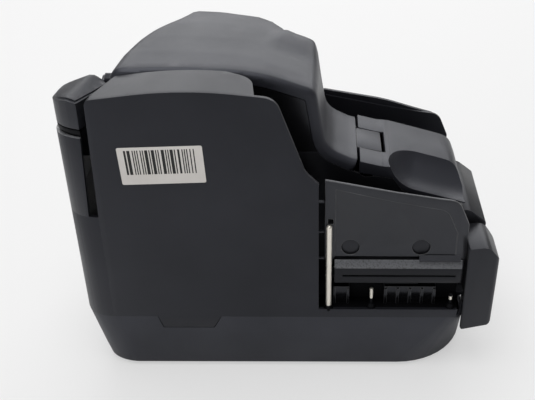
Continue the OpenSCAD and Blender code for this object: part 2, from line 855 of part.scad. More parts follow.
// The tray's corner and the floor rim with a little air round them
module nose_clearance() {
    hull() {
        translate([0, 0, tray_z]) linear_extrude(0.01)
            polygon(case_plan(x_nose + nose_lean, x_rear + tray_lean, nose_r, -gap));
        translate([0, 0, seam_z]) linear_extrude(floor_z - seam_z)
            polygon(case_plan(x_nose, x_rear, nose_top_r, -gap));
    }
}

// ---------- central body ----------

lip_z = neck_z - 8.5;
hem_z = hump_z - 13;
// Width of the catch between the two lids and its reach over the seam
tab_w = 28;
tab_reach = 16;
housing_z0 = deck_z;
body_front = x_nose - 4;
front_lip_z = shoulder_z - 34.5;
front_axis = [x_seam + 5.6, neck_z - 4.4];
front_knuckle_r = 2.4;
front_pin_r = 0.75;
ear_t = 4;
ear_y = tab_w / 2 + 10 + gap;
ear_foot = neck_z - 17;

// Hem of the front cover's side walls, from the front lip back to the seam
front_hem = [[x_nose - 2, front_lip_z], [x_seam + 49.5, neck_z - 28], [x_seam + 37, neck_z - 26],
    [x_seam + 29, neck_z - 21.5], [x_seam + 22.5, neck_z - 12.5], [x_seam, lip_z]];

crest_end = x_hump + 0.573 * hump_l;

// Profile of the roll cover, from its rear hem over the hump and down to the seam
lid_path = path([
    [x_hump, hem_z, 0], [x_hump, hump_z + 0.8, 9], [x_hump + 0.273 * hump_l, hump_z + 1.8, 300],
    [crest_end, hump_z, 120], [x_seam - 28.5, hump_z - 13, 9.5], [x_seam - 22, neck_z + 9, 16],
    [x_seam - 5, neck_z + 0.6, 20], [x_seam - lid_gap, neck_z, 0]]);

// Path at a depth under the lid's profile
lid_under = [for (i = [0:len(lid_path) - 1]) lid_path[i] + inward(lid_path, i) * (skirt + gap)];

// Last point of the line under the lid before it comes down through a height, and the place there
function before(z) = [for (i = [5:len(lid_under) - 2])
    if (lid_under[i].y > z && lid_under[i + 1].y <= z) i][0];
function crossing(z) = let (a = lid_under[before(z)], b = lid_under[before(z) + 1])
    [a.x + (b.x - a.x) * (a.y - z) / (a.y - b.y), z];

// Side of the frame: its top edge lies under the housing, the roll cover's neck and the front cover
module frame_side() {
    polygon(concat([[x_hump, floor_z], [x_hump, housing_z0], crossing(housing_z0)],
        [for (i = [before(housing_z0) + 1:len(lid_under) - 2]) lid_under[i]],
        [[x_seam - 1, lip_z - gap]],
        [for (i = [len(front_hem) - 2:-1:1]) front_hem[i] - [0, gap]],
        [[body_front, front_lip_z - 1.5 - gap], [body_front, floor_z]]));
}

module central_frame() {
    color("#0f0f10") {
        difference() {
            along_y(-half_body, half_body) frame_side();
            block(x_hump + wall, body_front - wall, -half_body + wall, half_body - wall,
                frame_floor, crest_z);
            // mouth for the receipt
            block(body_front - wall - 1, body_front + 1, -half_body + wall, half_body - wall,
                bezel_z1, crest_z);
            for (p = posts)
                translate([p.x, p.y, floor_z - 1]) cylinder(r = screw_r + fit, h = wall + 2);
            // room for the front cover's rear corner as it swings
            along_y(-half_body - 1, half_body + 1) translate(front_axis)
                circle(r = norm([x_seam, lip_z] - front_axis) + gap);
        }
        // ears that carry the front cover's pins
        for (s = [-1, 1]) difference() {
            union() {
                mirrored_y(s, ear_y, half_body - 1)
                    translate([front_axis.x - front_knuckle_r, ear_foot]) square([2 * front_knuckle_r, 4]);
                mirrored_y(s, ear_y, ear_y + ear_t) {
                    translate([front_axis.x - front_knuckle_r, ear_foot])
                        square([2 * front_knuckle_r, front_axis.y - ear_foot]);
                    translate(front_axis) circle(r = front_knuckle_r);
                }
            }
            mirrored_y(s, ear_y - 1, ear_y + ear_t + 1) translate(front_axis) circle(r = front_pin_r);
        }
    }
}

bow = 37.5;
bow_end = x_hump + 0.495 * hump_l;

// Forward shift of a cross-section at distance d from the near edge: it bows the hump's rear edge
function bow_at(x, d) = bow * pow(d / hump_w, 1.08) * max(0, (bow_end - x) / (bow_end - x_hump));

// Rise of the hump's top towards its far rear corner, at point p of the lid's profile
function rise_at(p, d) = far_rise * d / hump_w * max(0, (crest_end - p.x) / (crest_end - x_hump))
    * max(0, min(1, (p.y - hem_z) / 9));

// The same for the hump's rear wall
function rear_bow(d) = bow_at(x_hump + skirt, d);

// Far edge of the hump: wide at the rear, narrowing in an S to the neck
function far_at(x) = hump_far - (hump_far - half_body) * smooth(bank_x - 18, bank_x - 1, x);

section_steps = 3;
lid_r = 4;

// Cross-section of one skin of the lid at one station, from the near hem over the crowned
// top to the far hem. Each point is [y, depth under the profile].
function skin_line(yn, yf, top, r, rise, depth) = let (mid = (yn + yf) / 2, span = (yf - yn) / 2)
    concat([[yn, depth]],
        [for (i = [0:section_steps]) let (a = 90 * i / section_steps)
            [yn + r - r * cos(a), top + r - r * sin(a)]],
        [for (k = [-0.5, 0, 0.5]) [mid + k * span, top - rise * (1 - k * k)]],
        [for (i = [0:section_steps]) let (a = 90 - 90 * i / section_steps)
            [yf - r + r * cos(a), top + r - r * sin(a)]],
        [[yf, depth]]);

// Place a cross-section at station i of the lid's profile
function placed(i, line) =
    let (p = lid_path[i], n = i == len(lid_path) - 1 ? [-0.5, -1] : inward(lid_path, i))
    [for (q = line)
        [p.x + n.x * q.y + bow_at(p.x + n.x * skirt, q.x - near_edge), q.x,
            p.y + n.y * q.y + rise_at(p, q.x - near_edge)]];

function lid_skin(inset) = [for (i = [0:len(lid_path) - 1])
    let (yn = near_edge + inset, yf = far_at(lid_path[i].x) - inset)
        placed(i, skin_line(yn, yf, inset, lid_r - inset / 2,
            crown * smooth(x_seam - 6, x_seam - 60, lid_path[i].x), skirt))];

// The lid's shell from its rear wall to the seam
module lid_shell() {
    shell_loft(lid_skin(0), lid_skin(lid_t));
}

// Plan of the hump: bowed rear edge, wide rear half, narrow neck
module hump_plan(inset) {
    polygon(concat(
        [[x_seam - 3, near_edge + inset], [x_seam - 3, half_body - inset]],
        [for (i = [12:-1:0]) let (x = bank_x - 18 + i * 17 / 12) [x - inset * 0.5, far_at(x) - inset]],
        [for (i = [8:-1:0]) let (d = inset + i * (hump_w - 2 * inset) / 8)
            [x_hump + rear_bow(d) + inset * (1 + i / 14), near_edge + d]]));
}

// Part of a housing wall above the rear hem, under the lid's rising skirt at distance d
module hem_fill(d) {
    rising = [for (i = [1:before(hem_z - gap)])
        lid_under[i] + [bow_at(lid_path[i].x + inward(lid_path, i).x * skirt, d),
            rise_at(lid_path[i], d)]];
    polygon(concat([[rising[0].x, hem_z - gap - 1]], rising,
        [crossing(hem_z - gap), crossing(hem_z - gap) - [0, 1]]));
}

module roll_housing() {
    color("#0f0f10") {
        intersection() {
            difference() {
                linear_extrude_at(housing_z0, 70) hump_plan(0);
                linear_extrude_at(housing_z0 - 1, 80) hump_plan(wall);
            }
            union() {
                along_y(near_edge - 1, hump_far + 1) polygon(concat(
                    [[x_hump - 5, housing_z0], [x_hump - 5, hem_z - gap], crossing(hem_z - gap)],
                    [for (i = [before(hem_z - gap) + 1:before(housing_z0)]) lid_under[i]],
                    [crossing(housing_z0)]));
                along_y(near_edge - 1, near_edge + wall + 0.5) hem_fill(wall + 0.5);
                along_y(hump_far - wall - 0.5, hump_far + 1) hem_fill(hump_w);
                // in the S of the far wall, ahead of the bow
                along_y(near_edge, hump_far) intersection() {
                    hem_fill(0);
                    translate([bow_end + skirt, housing_z0]) square([hump_l, crest_z]);
                }
            }
        }
        for (d = [ear_d[0], ear_d[2]])
            hinge_knuckle(d, d + ear_w, hem_z - 7, hem_z - gap);
    }
}

// ---------- lids ----------

roll_axis = [x_hump - 3.4, hem_z];
knuckle_r = 3;
pin_r = 1.5;
ear_w = 4.5;
ear_d = [4, 4 + ear_w + gap, 4 + 3 * ear_w + 2 * gap];

// Hinge knuckle behind the hump's rear wall, with its web between two heights
module hinge_knuckle(d0, d1, z0, z1) {
    y0 = near_edge + d0;
    y1 = near_edge + d1;
    difference() {
        union() {
            along_y(y0, y1) translate(roll_axis) circle(r = knuckle_r);
            block(roll_axis.x, x_hump + rear_bow(d1) + 0.6, y0, y1, z0, z1);
        }
        along_y(y0 - 1, y1 + 1) translate(roll_axis) circle(r = pin_r + fit);
    }
}

module roll_cover() {
    color("#2f2f32") {
        lid_shell();
        hinge_knuckle(ear_d[1], ear_d[2] - gap, hem_z + gap, hem_z + 4);
    }
}

// Catch that bridges the seam, seated under the roll cover's front edge
module cover_catch() {
    color("#2f2f32")
        along_y(-tab_w / 2, tab_w / 2) polygon([
            [x_seam - 7, neck_z - lid_t - 0.1], [x_seam - lid_gap + 0.1, neck_z - lid_t - 0.1],
            [x_seam - lid_gap + 0.1, neck_z - 0.1], [x_seam, neck_z - 0.1],
            [x_seam + tab_reach, neck_z - 3.7], [x_seam + tab_reach - 1, neck_z - 6.4],
            [x_seam - 2, neck_z - lid_t - 1.8], [x_seam - 7, neck_z - lid_t - 1.8]]);
}

module roll_cover_pin() {
    color("#c9ccd0")
        along_y(near_edge + ear_d[0] + 0.5, near_edge + ear_d[2] + ear_w - 0.5)
            translate(roll_axis) circle(r = pin_r);
}

front_rear = x_seam;

// Top edge of the front cover, seen from the side
front_path = path([
    [front_rear, neck_z - 1.2, 0], [front_rear + 0.6, neck_z, 0], [front_rear + 15, neck_z - 3.6, 26],
    [front_rear + 22, neck_z - 3.9, 34], [front_rear + 57, neck_z - 13.6, 200],
    [x_nose - 6.5, neck_z - 17, 13], [x_nose - 1.6, front_lip_z + 2.5, 0]], 5);

// The same edge on the inside of the cover's skin
front_under = concat([[front_rear + lid_t, neck_z - lid_t - 0.5]],
    [for (i = [2:len(front_path) - 1]) front_path[i] + inward(front_path, i) * lid_t]);

module front_side() {
    polygon(concat(front_path, front_hem));
}

scoop_start = [x_seam + 45.5, near_edge + 6.5, neck_z + 3.5];
scoop_fall = 15.6;

// Dished thumb scoop: a cylinder along the cover's slope with a round rear end
module scoop(grow) {
    translate(scoop_start) {
        sphere(r = scoop_r + grow, $fn = 64);
        rotate([0, 90 + scoop_fall, 0]) cylinder(r = scoop_r + grow - 0.02, h = 60, $fn = 64);
    }
}

module front_cover() {
    color("#2f2f32")
        difference() {
            union() {
                difference() {
                    along_y(-half_body, half_body) front_side();
                    difference() {
                        along_y(-half_body + lid_t, half_body - lid_t) polygon(concat(front_under,
                            [[x_nose - 2 - lid_t, floor_z], [front_rear + lid_t, floor_z]]));
                        scoop(lid_t);
                    }
                }
                for (s = [-1, 1])
                    mirrored_y(s, tab_w / 2 + 3, ear_y - gap) translate(front_axis) circle(r = front_knuckle_r);
            }
            scoop(0);
            // notch for the roll cover's tab
            along_y(-tab_w / 2 - 0.6, tab_w / 2 + 0.6) polygon([
                [x_seam - 1, neck_z + 2], [x_seam + tab_reach + lid_gap + 3, neck_z + 2],
                [x_seam + tab_reach + lid_gap, neck_z - 7], [x_seam - 1, neck_z - 7]]);
            along_y(-ear_y, ear_y) translate(front_axis) circle(r = front_pin_r + fit);
            // room for the ears and for their feet as the cover swings
            for (s = [-1, 1])
                mirrored_y(s, ear_y - gap, ear_y + ear_t + gap) translate(front_axis) {
                    circle(r = front_knuckle_r + gap);
                    translate([-8, -8]) square([8, 8 + front_knuckle_r]);
                    translate([-8, -8]) square([8 + front_knuckle_r + gap, 8]);
                }
        }
}

module front_cover_pins() {
    color("#c9ccd0")
        for (s = [-1, 1])
            mirrored_y(s, tab_w / 2 + 3.5, ear_y + ear_t) translate(front_axis) circle(r = front_pin_r);
}

// ---------- receipt outlet and control ----------

bezel_z0 = shoulder_z - 68;
outlet_h = 5.5;
bezel_z1 = front_lip_z - outlet_h;
bezel_x1 = x_nose + 14;
button_z = bezel_z0 + 9.5;
button_y = -12;

module bezel_side(inset) {
    polygon(rounded([[body_front, bezel_z0 + inset, 0], [bezel_x1 - inset, bezel_z0 + inset, 2],
        [bezel_x1 - inset, bezel_z1 - 9.4 - inset, 3], [x_nose + 2, bezel_z1 - inset, 8],
        [body_front, bezel_z1 - inset, 0]]));
}

module receipt_bezel() {
    color("#37373b")
        difference() {
            along_y(-half_body, half_body) bezel_side(0);
            along_y(-half_body + wall, half_body - wall) bezel_side(wall);
            block(bezel_x1 - wall - 1, bezel_x1 + 1, button_y - 6, button_y + 6,
                button_z - 3.5, button_z + 3.5);
            translate([bezel_x1 - wall - 1, button_y + 16, button_z]) rotate([0, 90, 0])
                cylinder(r = 1.8, h = wall + 2);
            // clip hole and latch recess in the near side
            translate([bezel_x1 - 4, -half_body - 1, bezel_z1 - 12.9]) rotate([-90, 0, 0])
                cylinder(r = 1.5, h = 2);
            block(bezel_x1 - 10, bezel_x1 - 3.6, -half_body - 1, -half_body + 1,
                bezel_z1 - 19.6, bezel_z1 - 16.4);
        }
}

module tear_bar() {
    color("#c4c7cb")
        along_y(-half_body + wall + 2, half_body - wall - 2) polygon([
            [body_front - 4, bezel_z1 - 4.5], [body_front - wall - fit, bezel_z1 - 4.5],
            [body_front - wall - fit, bezel_z1 + fit], [body_front + 1.5, bezel_z1 + fit],
            [body_front + 1.5, bezel_z1 + 0.6], [body_front - 4, bezel_z1 + 0.6]]);
}

module feed_button() {
    color("#b8babd") {
        block(bezel_x1 - wall - 1, bezel_x1 + 1.6, button_y - 6 + 0.3, button_y + 6 - 0.3,
            button_z - 3.5 + 0.3, button_z + 3.5 - 0.3);
        block(bezel_x1 - wall - 2.4, bezel_x1 - wall - 0.2, button_y - 7.5, button_y + 7.5,
            button_z - 5, button_z + 5);
    }
}

board_x = bezel_x1 - wall - 9;

module button_spring() {
    color("silver")
        translate([board_x + 1.6, button_y, button_z]) rotate([0, 90, 0]) difference() {
            cylinder(r = 2.2, h = bezel_x1 - wall - 2.4 - board_x - 1.6);
            translate([0, 0, -1]) cylinder(r = 1.5, h = 20);
        }
}

module button_board() {
    color("#1d5a35")
        block(board_x, board_x + 1.6, -26, 26, bezel_z0 + wall, button_z + 7);
}

module status_lens() {
    color("#7fd18a")
        translate([board_x + 1.6, button_y + 16, button_z]) rotate([0, 90, 0])
            cylinder(r = 1.7, h = bezel_x1 + 0.4 - board_x - 1.6);
}

// ---------- paper and printer ----------

bin_r = roll_r + 3;
roll_c = [x_hump + 65, hump_z - 19 - roll_r];
bin_c = [roll_c.x, roll_c.y + bin_r - roll_r - 0.3];
bin_t = 2;

module paper_bin() {
    color("#232325")
        along_y(-half_body + wall, half_body - wall) difference() {
            intersection() {
                translate(bin_c) circle(r = bin_r + bin_t, $fn = 96);
                translate([bin_c.x - bin_r - bin_t, bin_c.y - bin_r - bin_t])
                    square([2 * bin_r + 2 * bin_t, bin_r + bin_t - 8]);
            }
            translate(bin_c) circle(r = bin_r, $fn = 96);
        }
}

core_r = 8;
paper_y0 = -half_body + wall + 1.4;

module roll_core() {
    color("#b89b72")
        along_y(paper_y0, paper_y0 + roll_w) translate(roll_c) difference() {
            circle(r = core_r);
            circle(r = core_r - 1.5);
        }
}

module paper_roll() {
    color("#f2f1ec")
        along_y(paper_y0, paper_y0 + roll_w) translate(roll_c) difference() {
            circle(r = roll_r, $fn = 96);
            circle(r = core_r);
        }
}

platen_c = [x_nose - 24, front_lip_z - 13];
near_plate_y = -half_body + wall + 0.2;
far_plate_y2 = near_plate_y + 1 + roll_w + 0.6;
side_t = 1;

platen_teeth = 18;
idler_teeth = 20;
pinion_teeth = 10;
mesh_a = 230;
mesh_b = 240;
backlash = 0.12;
idler_c = platen_c + gear_m * (platen_teeth + idler_teeth) / 2 * [cos(mesh_a), sin(mesh_a)];
motor_c = idler_c + gear_m * (idler_teeth + pinion_teeth) / 2 * [cos(mesh_b), sin(mesh_b)];
phase_platen = mesh_a;
phase_idler = mesh_a + 180 + 180 / idler_teeth;
phase_motor = mesh_b + 180 + 180 / pinion_teeth - (phase_idler - mesh_b) * idler_teeth / pinion_teeth;

// Spur gear outline with straight-flanked teeth
module gear_outline(teeth, phase) {
    pitch = gear_m * teeth / 2;
    tip = pitch + gear_m * 0.9;
    root = pitch - gear_m * 1.15;
    w = 360 / teeth;
    half_root = w * 0.33;
    half_pitch = w * 0.25 - backlash / pitch * 57;
    half_tip = w * 0.11;
    polygon([for (i = [0:teeth - 1]) let (a = phase + i * w)
        each [root * [cos(a - half_root), sin(a - half_root)],
            pitch * [cos(a - half_pitch), sin(a - half_pitch)],
            tip * [cos(a - half_tip), sin(a - half_tip)], tip * [cos(a + half_tip), sin(a + half_tip)],
            pitch * [cos(a + half_pitch), sin(a + half_pitch)],
            root * [cos(a + half_root), sin(a + half_root)]]]);
}

gear_y0 = far_plate_y2 + side_t + 0.25;
gear_y1 = half_body - wall - 0.25;

module print_frame() {
    color("#a9adb2")
        for (y = [near_plate_y, far_plate_y2])
            along_y(y, y + side_t) difference() {
                polygon(rounded([[platen_c.x - 36, frame_floor, 0], [platen_c.x + 14, frame_floor, 0],
                    [platen_c.x + 14, platen_c.y - 4, 3], [platen_c.x + 9, platen_c.y + 5.5, 4],
                    [platen_c.x - 10, platen_c.y + 5.5, 4], [platen_c.x - 36, motor_c.y + 14, 4]]));
                translate(platen_c) circle(r = shaft_r + fit);
                translate(idler_c) circle(r = shaft_r - 0.5);
                translate(motor_c) circle(r = shaft_r + 1);
            }
    color("#a9adb2") {
        block(platen_c.x - 36, platen_c.x + 14, near_plate_y, far_plate_y2 + side_t,
            frame_floor, frame_floor + 1.5);
        // fixed stud of the idler gear
        along_y(far_plate_y2, gear_y1) translate(idler_c) circle(r = shaft_r - 0.5);
    }
}

module platen_roller() {
    color("#3a3a3c")
        along_y(near_plate_y + side_t + 0.3, far_plate_y2 - 0.3) translate(platen_c) circle(r = platen_r);
    color("#c9ccd0")
        along_y(near_plate_y, gear_y1) translate(platen_c) circle(r = shaft_r);
}

module platen_gear() {
    color("#e4e2d8")
        along_y(gear_y0, gear_y1 - 0.2) translate(platen_c) difference() {
            gear_outline(platen_teeth, phase_platen);
            circle(r = shaft_r);
        }
}

module idler_gear() {
    color("#e4e2d8")
        along_y(gear_y0, gear_y1 - 0.2) translate(idler_c) difference() {
            gear_outline(idler_teeth, phase_idler);
            circle(r = shaft_r - 0.5 + fit);
        }
}

module motor_pinion() {
    color("#c8a95a")
        along_y(gear_y0, gear_y1 - 0.2) translate(motor_c) gear_outline(pinion_teeth, phase_motor);
    color("#c9ccd0")
        along_y(far_plate_y2 - 3, gear_y0) translate(motor_c) circle(r = shaft_r - 1);
}

module print_motor() {
    color("#8b8e93")
        difference() {
            along_y(far_plate_y2 - 22, far_plate_y2) translate(motor_c) circle(r = 12.5);
            along_y(far_plate_y2 - 4, far_plate_y2 + 1) translate(motor_c) circle(r = shaft_r - 1 + fit);
        }
}

head_z = platen_c.y + platen_r + 0.3;
head_t = 5;

module thermal_head() {
    color("#d9d4c4")
        block(platen_c.x - 6, platen_c.x + 7, near_plate_y + 3, far_plate_y2 - 2, head_z, head_z + head_t);
}

spring_r = 2.6;
cover_inside_z = lookup(platen_c.x + spring_r, front_under);

// Springs that press the head on the platen, between the head and the front cover's underside
module head_springs() {
    color("silver")
        for (y = [6, 22]) translate([platen_c.x, y, head_z + head_t]) difference() {
            cylinder(r = spring_r, h = cover_inside_z - head_z - head_t);
            translate([0, 0, -1]) cylinder(r = spring_r - 0.8, h = 40);
        }
}

// ---------- label ----------

label_w = 52;
label_h = 26;
label_r = 2.5;

module asset_label() {
    color("white")
        translate([x_cover + 16.1, 0, crest_z - 64.5]) rotate([0, -2.4, 0])
            along_y(-half_w - 0.15, -half_w)
                polygon(rounded([[0, 0, label_r], [label_w, 0, label_r],
                    [label_w, label_h, label_r], [0, label_h, label_r]]));
}

base_tray();
feet();
port_panel();
power_inlet();
data_port();
power_switch();
chassis_plate();
circuit_board();
tray_screws();
track_floor();
track_inner_guide();
track_outer_guide();
near_feed_roller();
far_feed_roller();
feed_motors();
near_pinch_roller();
far_pinch_roller();
pinch_pins();
outer_scan_head();
inner_scan_head();
near_side_cover();
far_side_cover();
far_bay_cover();
rear_turn_cover();
rear_cap();
near_bay_frame();
near_pocket_wall();
far_pocket_wall();
pocket_discs();
guide_rod();
cover_studs();
rib_block();
stop_block();
ledge_flap();
end_stop();
central_frame();
roll_housing();
roll_cover();
cover_catch();
roll_cover_pin();
front_cover();
front_cover_pins();
receipt_bezel();
tear_bar();
feed_button();
button_spring();
button_board();
status_lens();
paper_bin();
paper_roll();
roll_core();
print_frame();
platen_roller();
platen_gear();
idler_gear();
motor_pinion();
print_motor();
thermal_head();
head_springs();
asset_label();
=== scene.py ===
"""Looks of a desktop receipt printer with a document scanning track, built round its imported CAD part."""

import json
import math
import random

import bmesh
import bpy
from mathutils import Matrix, Vector


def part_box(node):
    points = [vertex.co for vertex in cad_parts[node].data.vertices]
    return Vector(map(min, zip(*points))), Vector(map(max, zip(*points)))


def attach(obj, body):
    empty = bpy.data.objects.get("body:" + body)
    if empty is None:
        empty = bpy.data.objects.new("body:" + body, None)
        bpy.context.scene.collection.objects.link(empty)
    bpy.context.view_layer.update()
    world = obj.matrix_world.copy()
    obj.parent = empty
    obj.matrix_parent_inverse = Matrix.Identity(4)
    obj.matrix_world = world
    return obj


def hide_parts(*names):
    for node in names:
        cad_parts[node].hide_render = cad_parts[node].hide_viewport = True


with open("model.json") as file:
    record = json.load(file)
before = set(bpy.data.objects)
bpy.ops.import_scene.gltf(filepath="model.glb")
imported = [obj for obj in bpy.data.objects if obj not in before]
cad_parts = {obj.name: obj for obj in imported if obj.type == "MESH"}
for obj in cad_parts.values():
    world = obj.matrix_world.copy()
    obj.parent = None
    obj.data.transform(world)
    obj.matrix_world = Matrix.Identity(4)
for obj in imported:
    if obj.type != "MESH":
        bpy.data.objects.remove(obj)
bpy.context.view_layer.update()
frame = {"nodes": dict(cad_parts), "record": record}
nodes = frame["nodes"]
random.seed(7)

# One millimetre, in the scene's metres. Places on the object are in mm, in the part's own frame.
MM = 0.001


# ---------- materials ----------

CHARCOAL = (0.0102, 0.0105, 0.0132)
# Tint of the plastics' reflections
COOL = (0.86, 0.89, 1.0, 1)
# Depth of a grain, in metres
GRAIN_DEPTH = 0.0002
# Noise levels of the darkest and the lightest tone, and of the dullest and the glossiest patch
TONE_LEVELS = (0.3, 0.72)
GLOSS_LEVELS = (0.3, 0.7)
# Patches of a moulded plastic: their noise scale, their darkest and lightest tone as shares of its
# colour, and how far their roughness strays
PATCH_SCALE = 14
PATCH_DARK, PATCH_LIGHT = 0.8, 1.35
PATCH_GLOSS = 0.05


def grey(level):
    """A neutral tone, or a plain number on its way through a colour ramp."""
    return (level, level, level)


def principled(name, color, rough, spec=0.5, metal=0.0):
    """A material of one colour and gloss."""
    mat = bpy.data.materials.new(name)
    mat.use_nodes = True
    shader = mat.node_tree.nodes["Principled BSDF"]
    shader.inputs["Base Color"].default_value = (*color, 1)
    shader.inputs["Roughness"].default_value = rough
    shader.inputs["Specular IOR Level"].default_value = spec
    shader.inputs["Metallic"].default_value = metal
    mat.diffuse_color = (*color, 1)
    return mat


def noise(tree, scale, detail=3.0, rough=0.55):
    """Noise that is fixed to the object."""
    coords = tree.nodes.new("ShaderNodeTexCoord")
    tex = tree.nodes.new("ShaderNodeTexNoise")
    tex.inputs["Scale"].default_value = scale
    tex.inputs["Detail"].default_value = detail
    tex.inputs["Roughness"].default_value = rough
    tree.links.new(coords.outputs["Object"], tex.inputs["Vector"])
    return tex.outputs["Fac"]


def ramp(tree, source, levels, colors):
    """Turns a source into a smooth change between two colours."""
    node = tree.nodes.new("ShaderNodeValToRGB")
    for element, level, color in zip(node.color_ramp.elements, levels, colors):
        element.position = level
        element.color = (*color, 1)
    tree.links.new(source, node.inputs["Fac"])
    return node.outputs["Color"]


def grain(mat, scale, strength):
    """Fine relief all over the surface."""
    tree = mat.node_tree
    bump = tree.nodes.new("ShaderNodeBump")
    bump.inputs["Strength"].default_value = strength
    bump.inputs["Distance"].default_value = GRAIN_DEPTH
    tree.links.new(noise(tree, scale), bump.inputs["Height"])
    tree.links.new(bump.outputs["Normal"], tree.nodes["Principled BSDF"].inputs["Normal"])
    return mat


def mottled(mat, scale, dark, light, rough_low, rough_high):
    """Slow change of colour and gloss from handling and dust, which on the bright edges and band also makes
    their painted highlight patchy.
    """
    tree = mat.node_tree
    shader = tree.nodes["Principled BSDF"]
    patches = noise(tree, scale, detail=5.0, rough=0.6)
    tone = ramp(tree, patches, TONE_LEVELS, (dark, light))
    gloss = ramp(tree, patches, GLOSS_LEVELS, (grey(rough_high), grey(rough_low)))
    tree.links.new(tone, shader.inputs["Base Color"])
    tree.links.new(gloss, shader.inputs["Roughness"])
    return mat


def plastic(name, color, rough, spec=0.38, grain_scale=2600, grain_strength=0.35):
    """A moulded plastic with faint patches and a fine grain."""
    mat = principled(name, color, rough, spec)
    mat.node_tree.nodes["Principled BSDF"].inputs["Specular Tint"].default_value = COOL
    dark = tuple(c * PATCH_DARK for c in color)
    light = tuple(c * PATCH_LIGHT for c in color)
    mottled(mat, PATCH_SCALE, dark, light, rough - PATCH_GLOSS, rough + PATCH_GLOSS)
    return grain(mat, grain_scale, grain_strength)


# Mouldings. After the roughness come the specular level, the grain's scale and the grain's strength.
case_mat = plastic("case_plastic", CHARCOAL, 0.42)
# Rounded edges: lighter than the case, partly wear and partly a painted highlight.
edge_mat = principled("edge_wear_highlight", (0.05, 0.051, 0.055), 0.3, 0.6)
top_mat = plastic("cover_plastic", (0.0155, 0.016, 0.0205), 0.44, 0.48)
dark_mat = plastic("dark_plastic", (0.0095, 0.0096, 0.011), 0.38, 0.4, 1800)
inner_mat = plastic("inner_plastic", (0.0045, 0.0045, 0.005), 0.24, 0.4, 900, 0.12)
tray_mat = plastic("tray_plastic", (0.022, 0.0228, 0.0275), 0.46, 0.48)

# Works, paper and trim, with the grain's scale and strength last
steel_mat = grain(principled("steel", (0.72, 0.7, 0.66), 0.24, metal=1.0), 1600, 0.12)
sheet_mat = grain(principled("sheet_metal", (0.5, 0.51, 0.52), 0.38, metal=1.0), 1100, 0.2)
rubber_mat = grain(principled("rubber", (0.02, 0.02, 0.021), 0.75, 0.3), 900, 0.4)
board_mat = grain(principled("board", (0.02, 0.13, 0.05), 0.42), 900, 0.25)
paper_mat = grain(principled("paper", (0.82, 0.81, 0.77), 0.85, 0.2), 700, 0.2)
card_mat = grain(principled("card", (0.42, 0.3, 0.18), 0.85, 0.2), 500, 0.4)
ceramic_mat = grain(principled("ceramic", (0.62, 0.56, 0.45), 0.5), 1400, 0.2)
gear_mat = grain(principled("gear_plastic", (0.72, 0.7, 0.62), 0.4), 1800, 0.15)
brass_mat = grain(principled("brass", (0.6, 0.42, 0.16), 0.3, metal=1.0), 1800, 0.12)
label_mat = mottled(
    principled("label", (0.7, 0.67, 0.64), 0.55, 0.4),
    30, dark=(0.66, 0.63, 0.6), light=(0.76, 0.73, 0.7), rough_low=0.5, rough_high=0.6,
)
ink_mat = grain(principled("label_ink", (0.01, 0.01, 0.01), 0.5, 0.4), 900, 0.15)
lens_mat = grain(principled("lens", (0.03, 0.16, 0.06), 0.15, 0.6), 700, 0.05)
button_mat = grain(principled("button", (0.12, 0.12, 0.125), 0.35, 0.5), 1500, 0.2)

# Nodes and faces that look different from the rest of their slot, some with painted shade or a painted
# highlight
scuffed_mat = plastic("scuffed_plastic", (0.016, 0.0164, 0.018), 0.32, 0.5, 1500, 0.25)
# Painted shade: the central frame's black plastic, darker and duller where it shows in the pocket.
pocket_shade_mat = plastic("pocket_shade_plastic", (0.0022, 0.0022, 0.0027), 0.42, 0.24, 1500, 0.15)
panel_mat = plastic("panel_plastic", (0.004, 0.004, 0.0046), 0.34, 0.3, 1500, 0.2)
# Painted shade: a near-black copy of the plastic for the bay's trough, the groove under the cap, the track
# and the feet of the rod and studs.
painted_shade_mat = plastic("painted_shade_plastic", (0.0014, 0.0014, 0.0016), 0.55, 0.14, 1500, 0.1)
# The ledge's band: partly wear, partly a painted highlight on its face that leans back.
band_wear_highlight_mat = mottled(
    principled("band_wear_highlight", (0.07, 0.072, 0.08), 0.3, 0.6),
    900, dark=(0.025, 0.026, 0.03), light=(0.17, 0.175, 0.19), rough_low=0.22, rough_high=0.4,
)
rod_mat = grain(principled("rod_steel", (0.86, 0.82, 0.74), 0.42, metal=0.85), 1200, 0.1)
# Softer rounded edges of the fin, the end stop and the pocket wall: partly wear, partly a painted highlight.
soft_edge_mat = mottled(
    principled("edge_wear_highlight_soft", (0.05, 0.05, 0.055), 0.3, 0.55),
    60, dark=(0.016, 0.0165, 0.019), light=(0.09, 0.092, 0.1), rough_low=0.28, rough_high=0.42,
)
# Bright rounded edges and lip: partly wear, partly a painted highlight line.
edge_wear_highlight_mat = mottled(
    principled("edge_wear_highlight_bright", (0.12, 0.12, 0.13), 0.28, 0.6),
    60, dark=(0.02, 0.0205, 0.023), light=(0.26, 0.265, 0.28), rough_low=0.25, rough_high=0.4,
)
dark_steel_mat = grain(principled("dark_steel", (0.05, 0.05, 0.052), 0.4, metal=0.8), 1500, 0.15)

